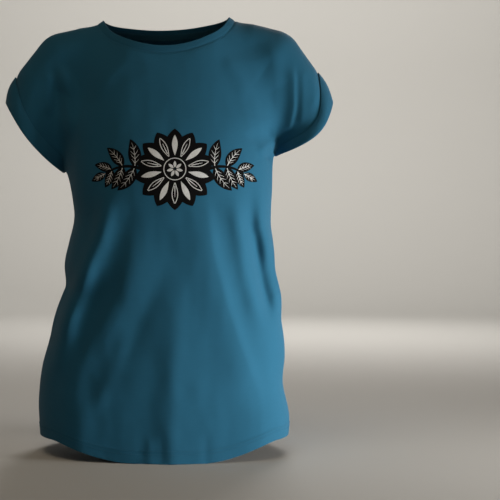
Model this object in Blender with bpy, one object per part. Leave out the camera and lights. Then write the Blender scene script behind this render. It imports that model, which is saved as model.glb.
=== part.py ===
"""A women's relaxed T-shirt of cotton jersey in its worn shape, standing on its hem.

The cloth lies on a smooth body form: a torso of rounded sections, two shoulders and two
upper arms blended together. Each panel is a grid of points set between its seams and
projected onto that form, raised by the main folds, and given the thickness of the cloth.
Metres, +Z up. The front faces -Y, and +X is the wearer's left.
"""
import math

import bpy
import numpy as np

# Cloth and trims
PANEL_THICK = 0.0012
BAND_THICK = 0.0018
CUFF_THICK = 0.0013
TAPE_THICK = 0.0008
TAPE_CLEAR = 0.0012
GAP = 0.0004
HEM_DEPTH = 0.020
NECKBAND_WIDTH = 0.010
TAPE_WIDTH = 0.009
CUFF_INNER = 0.0235
CUFF_OUTER = 0.022
CUFF_OUTER_AT_TIP = 0.042
CUFF_OUTER_AT_UNDERARM = 0.011
CUFF_STAND_OFF = 0.0022
# The turned edge of a cuff: how far it is rounded outside, and where the slit ends inside
CUFF_ROUND = 0.001
CUFF_PAST_EDGE = 0.0007
CUFF_SLIT_END = 0.0025

# Torso sections: half width to each side and depth to the front and back, by height
SIDE_PLUS_X = (
    (0.000, 0.171), (0.052, 0.175), (0.100, 0.166), (0.140, 0.169), (0.200, 0.162),
    (0.250, 0.158), (0.302, 0.150), (0.380, 0.152), (0.430, 0.149), (0.500, 0.148),
    (0.545, 0.135), (0.590, 0.090), (0.640, 0.062),
)
SIDE_MINUS_X = (
    (0.000, 0.186), (0.080, 0.190), (0.130, 0.184), (0.165, 0.171), (0.200, 0.161),
    (0.234, 0.147), (0.272, 0.150), (0.336, 0.140), (0.380, 0.151), (0.420, 0.147),
    (0.500, 0.148), (0.545, 0.135), (0.590, 0.090), (0.640, 0.062),
)
FRONT_DEPTH = (
    (0.000, 0.113), (0.100, 0.116), (0.200, 0.118), (0.300, 0.124), (0.385, 0.130),
    (0.440, 0.120), (0.500, 0.101), (0.550, 0.086), (0.575, 0.078), (0.610, 0.060),
    (0.640, 0.050),
)
BACK_DEPTH = (
    (0.000, 0.122), (0.080, 0.124), (0.160, 0.112), (0.250, 0.096), (0.330, 0.093),
    (0.420, 0.102), (0.500, 0.104), (0.550, 0.093), (0.600, 0.066), (0.640, 0.052),
)
SECTION_POWER = 2.35

# Shoulders and upper arms under the cloth: centre and radius from the neck to the elbow side
LIMBS = (
    ((0.065, 0.000, 0.584, 0.0445), (0.115, 0.002, 0.580, 0.0445), (0.150, 0.004, 0.570, 0.0460),
     (0.1765, 0.003, 0.5345, 0.0450), (0.2185, 0.000, 0.4300, 0.0475)),
    ((-0.065, 0.000, 0.583, 0.0445), (-0.120, 0.002, 0.575, 0.0445), (-0.152, 0.004, 0.566, 0.0460),
     (-0.1810, 0.003, 0.5300, 0.0455), (-0.2140, 0.000, 0.4050, 0.0500)),
)
LIMB_DEPTH = 1.14
# How wide the parts run into each other, and how much less they do at the underarm
BLEND = 0.045
UNDERARM_BLEND = 0.012
UNDERARM_REACH = 0.034
UNDERARM_Z = 0.500
UNDERARM_FADE = 0.030

# Hem: level at the front and back, higher at the side seams, rising between two angles
HEM_RISE = 0.0255
HEM_RISE_FRONT = (math.radians(12), math.radians(60))
HEM_RISE_BACK = (math.radians(28), math.radians(80))

# Neck seam, where the band joins the panels
NECK_CENTRE_X = -0.004
NECK_HALF_WIDTH = 0.0985
NECK_SIDE_Z = 0.6235
NECK_FRONT_Y = -0.080
NECK_FRONT_Z = 0.5715
NECK_BACK_Y = 0.062
NECK_BACK_Z = 0.617
NECK_TILT = 0.025
# How round the neckline's dip is at the front and the back, and how far the band stands up
NECK_FRONT_POWER = 1.1
NECK_BACK_POWER = 1.5
NECKBAND_LEAN = 0.35

# Sleeve openings: ends of the turned edge at the shoulder tip and the underarm (x, z),
# the way up the sleeve, and how far the edge bulges past its chord at the front
OPENINGS = {
    "left": {"tip": (0.237, 0.510), "underarm": (0.166, 0.436), "up": (-0.40, 0.917),
             "bulge": 0.015, "tilt": 0.004, "depth": 0.056},
    "right": {"tip": (-0.236, 0.508), "underarm": (-0.162, 0.410), "up": (0.36, 0.933),
              "bulge": -0.002, "tilt": 0.002, "depth": 0.056},
}

# Grid of each panel: columns over one shoulder, across the neck, rows of the body and yoke,
# and the row where the two are parted. The trims share its points, so that they meet it evenly
SHOULDER_COLUMNS = 8
NECK_COLUMNS = 14
BODY_ROWS = 16
YOKE_ROWS = 14
PARTING_ROW = BODY_ROWS - 1
CUFF_STEPS = 2 * YOKE_ROWS
NECK_STEPS = 2 * NECK_COLUMNS
# How far a shoulder seam and the middle of a yoke rise over a straight fill, before both
# are laid on the form, and the rounds that even out the yoke's points
SEAM_LIFT = 0.020
YOKE_LIFT = 0.040
RELAX_ROUNDS = 40

# Main folds as ridges (height > 0) and valleys: height, half width, path of (x, z)
FRONT_FOLDS = (
    (0.0060, 0.016, ((-0.078, 0.325), (-0.120, 0.235), (-0.150, 0.150))),
    (-0.0055, 0.013, ((-0.055, 0.322), (-0.095, 0.190), (-0.155, 0.095))),
    (0.0050, 0.014, ((-0.030, 0.290), (-0.068, 0.195), (-0.092, 0.150))),
    (-0.0035, 0.024, ((-0.003, 0.290), (0.003, 0.095))),
    (0.0070, 0.015, ((0.066, 0.322), (0.092, 0.190), (0.134, 0.105), (0.143, 0.065))),
    (-0.0050, 0.012, ((0.084, 0.315), (0.106, 0.230))),
    (0.0055, 0.013, ((0.093, 0.355), (0.104, 0.304), (0.127, 0.230), (0.146, 0.162))),
    (-0.0045, 0.010, ((0.117, 0.350), (0.130, 0.300), (0.140, 0.230))),
    (0.0040, 0.009, ((0.178, 0.545), (0.178, 0.490), (0.168, 0.455))),
    (-0.0045, 0.010, ((-0.172, 0.560), (-0.160, 0.480), (-0.148, 0.430))),
    (0.0035, 0.010, ((-0.153, 0.550), (-0.142, 0.470))),
)
BACK_FOLDS = (
    (0.0070, 0.018, ((-0.060, 0.330), (-0.085, 0.200), (-0.105, 0.040))),
    (-0.0060, 0.016, ((-0.020, 0.350), (-0.038, 0.190), (-0.048, 0.030))),
    (0.0065, 0.018, ((0.022, 0.340), (0.030, 0.190), (0.025, 0.030))),
    (-0.0060, 0.016, ((0.066, 0.340), (0.086, 0.190), (0.092, 0.050))),
    (0.0060, 0.016, ((0.105, 0.330), (0.128, 0.200), (0.146, 0.060))),
    (-0.0045, 0.014, ((-0.112, 0.330), (-0.136, 0.200), (-0.150, 0.070))),
)

COLOURS = {
    "jersey": (0.024, 0.122, 0.196),
    "trim": (0.020, 0.108, 0.176),
    "tape": (0.018, 0.095, 0.155),
}


def clear_scene():
    for obj in list(bpy.data.objects):
        bpy.data.objects.remove(obj, do_unlink=True)


def make_material(name, colour, roughness):
    material = bpy.data.materials.new(name)
    material.use_nodes = True
    shader = material.node_tree.nodes["Principled BSDF"]
    shader.inputs["Base Color"].default_value = (*colour, 1.0)
    shader.inputs["Roughness"].default_value = roughness
    shader.inputs["Metallic"].default_value = 0.0
    return material


def smooth_value(stations, position):
    """Read a smooth curve through stations of (position, value)."""
    at = np.array([s[0] for s in stations])
    value = np.array([s[1] for s in stations])
    slope = np.gradient(value, at)
    position = np.clip(position, at[0], at[-1])
    i = np.clip(np.searchsorted(at, position) - 1, 0, len(at) - 2)
    width = at[i + 1] - at[i]
    t = (position - at[i]) / width
    return (
        (2 * t**3 - 3 * t**2 + 1) * value[i]
        + (t**3 - 2 * t**2 + t) * width * slope[i]
        + (3 * t**2 - 2 * t**3) * value[i + 1]
        + (t**3 - t**2) * width * slope[i + 1]
    )


def unit(vectors):
    return vectors / np.maximum(np.linalg.norm(vectors, axis=-1, keepdims=True), 1e-12)


def torso_distance(p):
    width = np.where(p[..., 0] > 0, smooth_value(SIDE_PLUS_X, p[..., 2]),
                     smooth_value(SIDE_MINUS_X, p[..., 2]))
    depth = np.where(p[..., 1] < 0, smooth_value(FRONT_DEPTH, p[..., 2]),
                     smooth_value(BACK_DEPTH, p[..., 2]))
    reach = (np.abs(p[..., 0] / width) ** SECTION_POWER
             + np.abs(p[..., 1] / depth) ** SECTION_POWER) ** (1 / SECTION_POWER)
    radius = np.hypot(p[..., 0], p[..., 1])
    return radius * (1 - 1 / np.maximum(reach, 1e-6))


def limb_distance(p, limb):
    """Distance from a chain of tapered lengths, deeper than they are wide."""
    p = p / np.array([1, LIMB_DEPTH, 1])
    nearest = np.full(p.shape[:-1], np.inf)
    for first, second in zip(limb[:-1], limb[1:]):
        start, along = np.array(first[:3]), np.array(second[:3]) - np.array(first[:3])
        t = np.clip((p - start) @ along / (along @ along), 0, 1)
        away = np.linalg.norm(p - start - t[..., None] * along, axis=-1)
        nearest = np.minimum(nearest, away - first[3] - t * (second[3] - first[3]))
    return nearest


def form_distance(p):
    """Distance from the body form, with its parts blended into each other."""
    under = np.exp(-((p[..., 1] / UNDERARM_REACH) ** 2))
    under = under * np.clip((UNDERARM_Z - p[..., 2]) / UNDERARM_FADE, 0, 1)
    blend = BLEND + (UNDERARM_BLEND - BLEND) * under
    distance = torso_distance(p)
    for limb in LIMBS:
        other = limb_distance(p, limb)
        overlap = np.maximum(blend - np.abs(distance - other), 0) / blend
        distance = np.minimum(distance, other) - overlap**2 * blend / 4
    return distance


def form_gradient(p, step=1e-4):
    shifts = step * np.eye(3)
    return np.stack(
        [(form_distance(p + s) - form_distance(p - s)) / (2 * step) for s in shifts], axis=-1)


def form_normal(p):
    return unit(form_gradient(p))


def onto_form(p, keep_height=False, rounds=12):
    """Move points along the form's gradient until they lie on it."""
    p = np.array(p, dtype=float)
    for _ in range(rounds):
        gradient = form_gradient(p)
        if keep_height:
            gradient[..., 2] = 0
        size = np.maximum((gradient**2).sum(axis=-1), 0.05)
        step = (form_distance(p) / size)[..., None] * gradient
        length = np.linalg.norm(step, axis=-1, keepdims=True)
        p -= step * np.minimum(1, 0.02 / np.maximum(length, 1e-9))
    return p


def ring_point(angle, z):
    """A point on the torso: angle 0 is the front, a quarter turn is +X."""
    x = np.sign(np.sin(angle)) * np.abs(np.sin(angle)) ** (2 / SECTION_POWER)
    y = -np.sign(np.cos(angle)) * np.abs(np.cos(angle)) ** (2 / SECTION_POWER)
    width = np.where(x > 0, smooth_value(SIDE_PLUS_X, z), smooth_value(SIDE_MINUS_X, z))
    depth = np.where(y < 0, smooth_value(FRONT_DEPTH, z), smooth_value(BACK_DEPTH, z))
    return np.stack([x * width, y * depth, z * np.ones_like(x)], axis=-1)


def hem_height(angle):
    """The hem's lower edge: flat about the front and back, higher at the sides."""
    off_middle = np.abs(np.arcsin(np.clip(np.sin(angle), -1, 1)))
    in_front = np.cos(angle) > 0
    low = np.where(in_front, HEM_RISE_FRONT[0], HEM_RISE_BACK[0])
    high = np.where(in_front, HEM_RISE_FRONT[1], HEM_RISE_BACK[1])
    t = np.clip((off_middle - low) / (high - low), 0, 1)
    return HEM_RISE * t * t * (3 - 2 * t)


def neck_seam(angle):
    """The closed seam round the neck: angle 0 is the front, a quarter turn is +X."""
    x = NECK_CENTRE_X + NECK_HALF_WIDTH * np.sin(angle)
    c = np.cos(angle)
    front = np.maximum(c, 0) ** NECK_FRONT_POWER
    back = np.maximum(-c, 0) ** NECK_BACK_POWER
    y = NECK_FRONT_Y * np.maximum(c, 0) + NECK_BACK_Y * np.maximum(-c, 0)
    z = (NECK_SIDE_Z - (NECK_SIDE_Z - NECK_FRONT_Z) * front
         - (NECK_SIDE_Z - NECK_BACK_Z) * back + NECK_TILT * (x - NECK_CENTRE_X))
    return onto_form(np.stack([x, y, z], axis=-1))


def neck_angles(facing):
    """The angles round the neck seam at a panel's columns, from -X to +X."""
    angle = np.linspace(-math.pi / 2, math.pi / 2, NECK_COLUMNS + 1)
    return angle if facing == "front" else math.pi - angle


def opening_edge(side, angle, up=0.0):
    """The turned edge of a sleeve: angle 0 is the tip, half a turn is the underarm.

    The front lies between them the short way. Up moves the edge up the sleeve.
    """
    opening = OPENINGS[side]
    tip, underarm = np.array(opening["tip"]), np.array(opening["underarm"])
    middle, half = (tip + underarm) / 2, (tip - underarm) / 2
    outward = np.array([abs(half[1]) * np.sign(tip[0]), -abs(half[0])])
    outward /= np.linalg.norm(outward)
    c, s = np.cos(angle), np.sin(angle)
    flat = (middle + half * c[..., None]
            + outward * (opening["bulge"] * s**2 + opening["tilt"] * s)[..., None])
    y = -opening["depth"] * s
    p = np.stack([flat[..., 0], y, flat[..., 1]], axis=-1)
    way_up = unit(np.array([opening["up"][0], 0.0, opening["up"][1]]))
    return onto_form(p + way_up * np.asarray(up)[..., None])


def opening_normal(side, angle, up):
    """The way out of the sleeve's surface at its turned edge, square to the way up."""
    step = 1e-3
    ahead = opening_edge(side, angle + step, up) - opening_edge(side, angle - step, up)
    x, z = OPENINGS[side]["up"]
    out = unit(np.cross(ahead, np.array([x, 0.0, z])))
    return -out if side == "left" else out


def fold_height(p, folds):
    """Sum of the folds at points, each a soft ridge along its path."""
    total = np.zeros(p.shape[:-1])
    flat = p[..., [0, 2]]
    for height, half_width, path in folds:
        path = np.array(path)
        lengths = np.linalg.norm(np.diff(path, axis=0), axis=1)
        whole = lengths.sum()
        best = np.full(total.shape, np.inf)
        share = np.zeros(total.shape)
        before = 0.0
        for start, end, length in zip(path[:-1], path[1:], lengths):
            t = np.clip((flat - start) @ (end - start) / length**2, 0, 1)
            away = np.linalg.norm(flat - start - t[..., None] * (end - start), axis=-1)
            nearer = away < best
            share = np.where(nearer, (before + t * length) / whole, share)
            best = np.minimum(best, away)
            before += length
        ends = np.sin(np.pi * np.clip(0.08 + 0.84 * share, 0, 1)) ** 0.7
        total += height * np.exp(-((best / half_width) ** 2)) * ends
    return total


def seam_run(start, end, count, middle_lift):
    """Points on the form between two points, evenly spread, with both ends."""
    t = np.linspace(0, 1, count + 1)[:, None]
    p = start * (1 - t) + end * t
    p[:, 2] += middle_lift * np.sin(np.pi * t[:, 0])
    return onto_form(p)


def transfinite(bottom, top, left, right):
    """Fill a four-sided patch from its boundary rows and columns."""
    u = np.linspace(0, 1, len(bottom))[None, :, None]
    v = np.linspace(0, 1, len(left))[:, None, None]
    return (
        (1 - v) * bottom[None] + v * top[None] + (1 - u) * left[:, None] + u * right[:, None]
        - (1 - u) * (1 - v) * bottom[0] - u * (1 - v) * bottom[-1]
        - (1 - u) * v * top[0] - u * v * top[-1]
    )


def relax(grid, rounds):
    """Even out a grid's inner points over the form, with its boundary held."""
    for _ in range(rounds):
        inner = (grid[:-2, 1:-1] + grid[2:, 1:-1] + grid[1:-1, :-2] + grid[1:-1, 2:]) / 4
        grid[1:-1, 1:-1] = onto_form(inner, rounds=2)
    return grid


def panel_grid(facing):
    """Points of one panel, rows from the hem seam to the shoulders, columns along +X."""
    columns = 2 * SHOULDER_COLUMNS + NECK_COLUMNS
    spread = np.linspace(-math.pi / 2, math.pi / 2, columns + 1)
    angle = spread if facing == "front" else math.pi - spread
    # An opening's angle runs the other way round at the back
    way = 1 if facing == "front" else -1
    rows = np.linspace(math.pi, 0, YOKE_ROWS + 1) * way
    edge_right = opening_edge("right", rows, np.full(rows.shape, CUFF_INNER + GAP))
    edge_left = opening_edge("left", rows, np.full(rows.shape, CUFF_INNER + GAP))
    low = hem_height(angle) + HEM_DEPTH + GAP
    high = np.linspace(edge_right[0, 2], edge_left[0, 2], columns + 1)
    chest = onto_form(ring_point(angle, high), keep_height=True)
    chest[0] = edge_right[0]
    chest[-1] = edge_left[0]
    body = []
    for share in np.linspace(0, 1, BODY_ROWS + 1)[:-1]:
        z = low + (high - low) * share
        body.append(onto_form(ring_point(angle, z), keep_height=True))
    neck = neck_seam(neck_angles(facing))
    shoulder_right = seam_run(edge_right[-1], neck[0], SHOULDER_COLUMNS, SEAM_LIFT)
    shoulder_left = seam_run(neck[-1], edge_left[-1], SHOULDER_COLUMNS, SEAM_LIFT)
    top = np.concatenate([shoulder_right[:-1], neck, shoulder_left[1:]])
    yoke = transfinite(chest, top, edge_right, edge_left)
    v = np.linspace(0, 1, YOKE_ROWS + 1)[:, None]
    u = np.linspace(0, 1, columns + 1)[None, :]
    yoke[..., 1] -= way * YOKE_LIFT * np.sin(np.pi * v) * np.sin(np.pi * u)
    yoke[1:-1, 1:-1] = onto_form(yoke[1:-1, 1:-1])
    yoke = relax(yoke, RELAX_ROUNDS)
    return np.concatenate([np.array(body), yoke])


def grid_normals(grid):
    """Vertex normals of a grid, pointing to the side that columns x rows face."""
    across = np.gradient(grid, axis=1)
    along = np.gradient(grid, axis=0)
    return unit(np.cross(across, along))


def sheet_mesh(name, outer, inner, closed=False):
    """A closed solid between two grids of points with the same layout.

    A closed sheet joins its last column to its first.
    """
    rows, columns = outer.shape[:2]
    vertices = [tuple(p) for p in outer.reshape(-1, 3)] + [tuple(p) for p in inner.reshape(-1, 3)]
    under = rows * columns
    faces = []
    last = columns if closed else columns - 1
    for r in range(rows - 1):
        for c in range(last):
            d = (c + 1) % columns
            a = r * columns + c
            b = r * columns + d
            e = b + columns
            f = a + columns
            faces += [(a, b, e), (a, e, f)]
            faces += [(under + a, under + e, under + b), (under + a, under + f, under + e)]
    for c in range(last):
        d = (c + 1) % columns
        top = (rows - 1) * columns
        faces += [(d, c, under + c), (d, under + c, under + d)]
        faces += [(top + c, top + d, under + top + d), (top + c, under + top + d, under + top + c)]
    if not closed:
        for r in range(rows - 1):
            a = r * columns
            b = a + columns
            faces += [(a, b, under + b), (a, under + b, under + a)]
            a += columns - 1
            b += columns - 1
            faces += [(b, a, under + a), (b, under + a, under + b)]
    return make_object(name, vertices, faces)


def make_object(name, vertices, faces):
    mesh = bpy.data.meshes.new(name)
    mesh.from_pydata(vertices, [], faces)
    mesh.validate()
    mesh.shade_smooth()
    mesh.set_sharp_from_angle(angle=math.radians(50))
    obj = bpy.data.objects.new(name, mesh)
    bpy.context.scene.collection.objects.link(obj)
    return obj


def edge_normals(grid, normals, facing):
    """Turn a panel's normals at its edges to run with the trims and seams that they meet."""
    normals[[0, PARTING_ROW], :, 2] = 0
    way = 1 if facing == "front" else -1
    rows = np.linspace(math.pi, 0, YOKE_ROWS + 1) * way
    up = np.full(rows.shape, CUFF_INNER + GAP)
    normals[BODY_ROWS:, 0] = opening_normal("right", rows, up) + unit(normals[BODY_ROWS:, 1])
    normals[BODY_ROWS:, -1] = opening_normal("left", rows, up) + unit(normals[BODY_ROWS:, -2])
    neck = neck_angles(facing)
    normals[-1, SHOULDER_COLUMNS : SHOULDER_COLUMNS + NECK_COLUMNS + 1] = neckband_line(neck, 0)[1]
    # Across a seam between the panels the thickness runs along the seam's own plane
    normals[: BODY_ROWS + 1, [0, -1], 1] = 0
    normals[-1, : SHOULDER_COLUMNS + 1, 1] = 0
    normals[-1, -SHOULDER_COLUMNS - 1 :, 1] = 0
    return unit(normals)


def make_panel(facing, material):
    """The front or back: one grid from the hem seam to the shoulder and cuff seams.

    It is parted just below the underarm into a body and a yoke with the sleeves' halves.
    """
    grid = panel_grid(facing)
    folds = FRONT_FOLDS if facing == "front" else BACK_FOLDS
    height = fold_height(grid, folds)
    rows, columns = grid.shape[:2]
    # Folds fade out at every seam, so that the neighbours still meet
    edge = np.minimum(np.arange(columns), np.arange(columns)[::-1])[None, :]
    end = np.minimum(np.arange(rows), np.arange(rows)[::-1])[:, None]
    height = height * np.clip(edge / 2, 0, 1) * np.clip(end / 2, 0, 1)
    outer = grid + form_normal(grid) * height[..., None]
    normals = grid_normals(outer)
    if facing == "back":
        normals = -normals
    inner = outer - edge_normals(outer, normals, facing) * PANEL_THICK
    shift = np.array([0, -GAP / 2 if facing == "front" else GAP / 2, 0])
    outer, inner = outer + shift, inner + shift
    if facing == "back":
        outer, inner = outer[:, ::-1], inner[:, ::-1]
    body = sheet_mesh(f"{facing}_body", outer[: PARTING_ROW + 1], inner[: PARTING_ROW + 1])
    body.data.materials.append(material)
    upper = [sheet[PARTING_ROW:].copy() for sheet in (outer, inner)]
    for sheet in upper:
        sheet[0, :, 2] += GAP
    yoke = sheet_mesh(f"{facing}_yoke", *upper)
    yoke.data.materials.append(material)


def make_hem(facing, material):
    """The doubled band at the lower edge, between the side seams."""
    columns = 2 * SHOULDER_COLUMNS + NECK_COLUMNS
    spread = np.linspace(-math.pi / 2, math.pi / 2, columns + 1)
    angle = spread if facing == "front" else spread + math.pi
    low = hem_height(angle)
    rows = []
    for share in (0, 0.5, 1):
        z = low + HEM_DEPTH * share
        rows.append(ring_point(angle, z))
    middle = np.array(rows)
    normals = form_normal(middle)
    normals[..., 2] = 0
    normals = unit(normals)
    proud = (BAND_THICK - PANEL_THICK) / 2
    outer = middle + normals * proud
    inner = outer - normals * BAND_THICK
    shift = np.array([0, -GAP / 2 if facing == "front" else GAP / 2, 0])
    hem = sheet_mesh(f"{facing}_hem", outer + shift, inner + shift)
    hem.data.materials.append(material)


def neckband_line(angle, up):
    """A line round the neckband at a height above the neck seam."""
    seam = neck_seam(angle)
    normal = form_normal(seam)
    ahead = unit(neck_seam(angle + 1e-3) - neck_seam(angle - 1e-3))
    rise = unit(np.cross(normal, ahead))
    rise = unit(rise + np.array([0, 0, NECKBAND_LEAN]))
    return seam + rise * up, unit(np.cross(ahead, rise))


def make_neckband(material):
    angle = np.linspace(0, 2 * math.pi, NECK_STEPS, endpoint=False)
    outer, inner = [], []
    for up in (GAP, NECKBAND_WIDTH / 2, NECKBAND_WIDTH):
        line, away = neckband_line(angle, up)
        outer.append(line + away * (BAND_THICK - PANEL_THICK) / 2)
        inner.append(line - away * (BAND_THICK + PANEL_THICK) / 2)
    band = sheet_mesh("neckband", np.array(outer), np.array(inner), closed=True)
    band.data.materials.append(material)


def make_cuff(side, material):
    """A turned-up cuff: an inner leg that carries on the sleeve and a leg folded up outside it."""
    angle = np.linspace(0, 2 * math.pi, CUFF_STEPS, endpoint=False)
    tip_share = ((1 + np.cos(angle)) / 2) ** 3
    under_share = ((1 - np.cos(angle)) / 2) ** 3
    free = (CUFF_OUTER + (CUFF_OUTER_AT_TIP - CUFF_OUTER) * tip_share
            - (CUFF_OUTER - CUFF_OUTER_AT_UNDERARM) * under_share)
    stand = CUFF_STAND_OFF * (1 - 0.6 * under_share)
    t = CUFF_THICK
    level = np.zeros(CUFF_STEPS)
    rounded = level + CUFF_ROUND
    lowest = level - CUFF_PAST_EDGE
    slit = level + CUFF_SLIT_END
    # Down the inside, round the turned edge, up the outside and back down into the slit
    section = (
        (level + CUFF_INNER, level - t), (level + CUFF_INNER / 2, level - t), (rounded, level - t),
        (lowest, level - 0.2 * t), (lowest, stand + 0.4 * t), (rounded, stand + t),
        (free / 2, stand + t), (free, stand + 1.2 * t), (free, stand + 0.2 * t), (free / 2, stand),
        (slit, 0.8 * stand), (slit, 0.15 * stand), (level + CUFF_INNER / 2, level),
        (level + CUFF_INNER, level),
    )
    loops = []
    for up, out in section:
        line = opening_edge(side, angle, up)
        loops.append(line + opening_normal(side, angle, up) * out[:, None])
    loops = np.array(loops)
    count = len(section)
    vertices = [tuple(p) for p in loops.reshape(-1, 3)]
    faces = []
    for i in range(count):
        j = (i + 1) % count
        for c in range(CUFF_STEPS):
            d = (c + 1) % CUFF_STEPS
            quad = (i * CUFF_STEPS + c, i * CUFF_STEPS + d, j * CUFF_STEPS + d, j * CUFF_STEPS + c)
            if side == "left":
                quad = quad[::-1]
            faces.append(quad)
    cuff = make_object(f"{side}_cuff", vertices, faces)
    cuff.data.materials.append(material)


def make_neck_tape(material):
    """The narrow tape inside the back neck, ending short of the shoulder seams."""
    first, last = SHOULDER_COLUMNS + 1, SHOULDER_COLUMNS + NECK_COLUMNS
    grid = panel_grid("back")[:, first:last]
    angle = neck_angles("back")[1:-1]
    down = unit(grid[-2] - grid[-1])
    away = neckband_line(angle, 0)[1]
    clear = (BAND_THICK + PANEL_THICK) / 2 + TAPE_CLEAR
    top = neckband_line(angle, TAPE_WIDTH * 0.35)[0] - away * clear
    middle = grid[-1] - away * clear
    low = middle + down * TAPE_WIDTH * 0.65
    outer = np.array([low, middle, top])[:, ::-1]
    inner = outer - away[None, ::-1] * TAPE_THICK
    tape = sheet_mesh("neck_tape", outer, inner)
    tape.data.materials.append(material)


def main():
    clear_scene()
    jersey = make_material("jersey", COLOURS["jersey"], 0.85)
    trim = make_material("trim", COLOURS["trim"], 0.85)
    tape = make_material("tape", COLOURS["tape"], 0.8)
    for facing in ("front", "back"):
        make_panel(facing, jersey)
        make_hem(facing, trim)
    for side in ("left", "right"):
        make_cuff(side, trim)
    make_neckband(trim)
    make_neck_tape(tape)


main()
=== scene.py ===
# A women's cotton jersey T-shirt in its worn shape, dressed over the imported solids.
import math

import bmesh
import bpy
import numpy as np
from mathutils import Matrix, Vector, noise
from mathutils.bvhtree import BVHTree


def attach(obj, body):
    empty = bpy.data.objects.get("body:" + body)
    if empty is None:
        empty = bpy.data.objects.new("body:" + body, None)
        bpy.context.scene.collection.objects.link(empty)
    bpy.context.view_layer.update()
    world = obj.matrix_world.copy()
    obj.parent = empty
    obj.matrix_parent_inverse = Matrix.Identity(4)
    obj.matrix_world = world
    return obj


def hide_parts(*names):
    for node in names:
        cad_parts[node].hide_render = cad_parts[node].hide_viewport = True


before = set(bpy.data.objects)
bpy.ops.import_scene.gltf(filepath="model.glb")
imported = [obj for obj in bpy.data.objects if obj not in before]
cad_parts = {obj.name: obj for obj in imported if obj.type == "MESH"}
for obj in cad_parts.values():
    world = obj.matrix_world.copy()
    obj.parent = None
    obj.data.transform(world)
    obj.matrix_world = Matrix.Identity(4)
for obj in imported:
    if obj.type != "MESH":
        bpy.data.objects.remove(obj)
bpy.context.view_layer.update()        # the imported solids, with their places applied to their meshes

scene = bpy.context.scene
scene.view_settings.view_transform = "Standard"
mm = 0.001


# Body form that the cloth lies on: that of the solids, drawn in a little more at the waist

bodyForm = {   # half widths and depths by height, as (height, value)
    "sidePlusX": ((0.000, 0.171), (0.052, 0.175), (0.100, 0.166), (0.140, 0.169), (0.200, 0.162),
                  (0.235, 0.1515), (0.270, 0.144), (0.302, 0.1445), (0.345, 0.1475), (0.385, 0.150),
                  (0.430, 0.149), (0.500, 0.148), (0.545, 0.135), (0.590, 0.090), (0.640, 0.062)),
    "sideMinusX": ((0.000, 0.186), (0.080, 0.190), (0.130, 0.183), (0.165, 0.169), (0.200, 0.157),
                   (0.234, 0.1415), (0.272, 0.146), (0.302, 0.1425), (0.340, 0.138), (0.375, 0.142),
                   (0.420, 0.147), (0.500, 0.148), (0.545, 0.135), (0.590, 0.090), (0.640, 0.062)),
    "frontDepth": ((0.000, 0.113), (0.100, 0.116), (0.200, 0.118), (0.300, 0.124), (0.385, 0.130),
                   (0.440, 0.120), (0.500, 0.101), (0.550, 0.086), (0.575, 0.078), (0.610, 0.060),
                   (0.640, 0.050)),
    "backDepth": ((0.000, 0.122), (0.080, 0.124), (0.160, 0.112), (0.250, 0.096), (0.330, 0.093),
                  (0.420, 0.102), (0.500, 0.104), (0.550, 0.093), (0.600, 0.066), (0.640, 0.052)),
    "sectionPower": 2.35,
    "limbs": (   # centre and radius from the neck down each upper arm
        ((0.065, 0.000, 0.584, 0.0445), (0.115, 0.002, 0.580, 0.0445), (0.150, 0.004, 0.570, 0.0460),
         (0.1765, 0.003, 0.5345, 0.0450), (0.2185, 0.000, 0.4300, 0.0475)),
        ((-0.065, 0.000, 0.583, 0.0445), (-0.120, 0.002, 0.575, 0.0445), (-0.152, 0.004, 0.566, 0.0460),
         (-0.1810, 0.003, 0.5300, 0.0455), (-0.2140, 0.000, 0.4080, 0.0490)),
    ),
    "limbDepth": 1.14,
    "blend": 0.045,
    "underarmBlend": 0.034,
    "underarmReach": 0.034,
    "underarmZ": 0.500,
    "underarmFade": 0.030,
}


def smoothValue(stations, position):   # a smooth curve through (position, value)
    at = np.array([s[0] for s in stations])
    value = np.array([s[1] for s in stations])
    slope = np.gradient(value, at)
    position = np.clip(position, at[0], at[-1])
    i = np.clip(np.searchsorted(at, position) - 1, 0, len(at) - 2)
    width = at[i + 1] - at[i]
    t = (position - at[i]) / width
    return (
        (2 * t**3 - 3 * t**2 + 1) * value[i]
        + (t**3 - 2 * t**2 + t) * width * slope[i]
        + (3 * t**2 - 2 * t**3) * value[i + 1]
        + (t**3 - t**2) * width * slope[i + 1]
    )


def lengthsAlong(line):   # how far along it each point of a line is
    return np.concatenate([[0], np.cumsum(np.linalg.norm(np.diff(line, axis=0), axis=1))])


def pointsAt(places, at, line):   # points of a line between those known at some places
    return np.stack([np.interp(places, at, line[:, k]) for k in range(line.shape[1])], axis=-1)


def headings(angle):   # flat unit vectors at some angles
    return np.stack([np.cos(angle), np.sin(angle)], axis=-1)


def unit(vectors):
    return vectors / np.maximum(np.linalg.norm(vectors, axis=-1, keepdims=True), 1e-12)


def smoothStep(low, high, value):
    t = np.clip((value - low) / (high - low), 0, 1)
    return t * t * (3 - 2 * t)


def torsoSize(x, y, z):   # half width and depth of the torso on the side where a point is
    plusX, minusX, front, back = (
        smoothValue(bodyForm[name], z) for name in ("sidePlusX", "sideMinusX", "frontDepth", "backDepth"))
    return np.where(x > 0, plusX, minusX), np.where(y < 0, front, back)


def torsoDistance(p):
    width, depth = torsoSize(p[..., 0], p[..., 1], p[..., 2])
    power = bodyForm["sectionPower"]
    reach = (np.abs(p[..., 0] / width) ** power + np.abs(p[..., 1] / depth) ** power) ** (1 / power)
    return np.hypot(p[..., 0], p[..., 1]) * (1 - 1 / np.maximum(reach, 1e-6))


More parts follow.
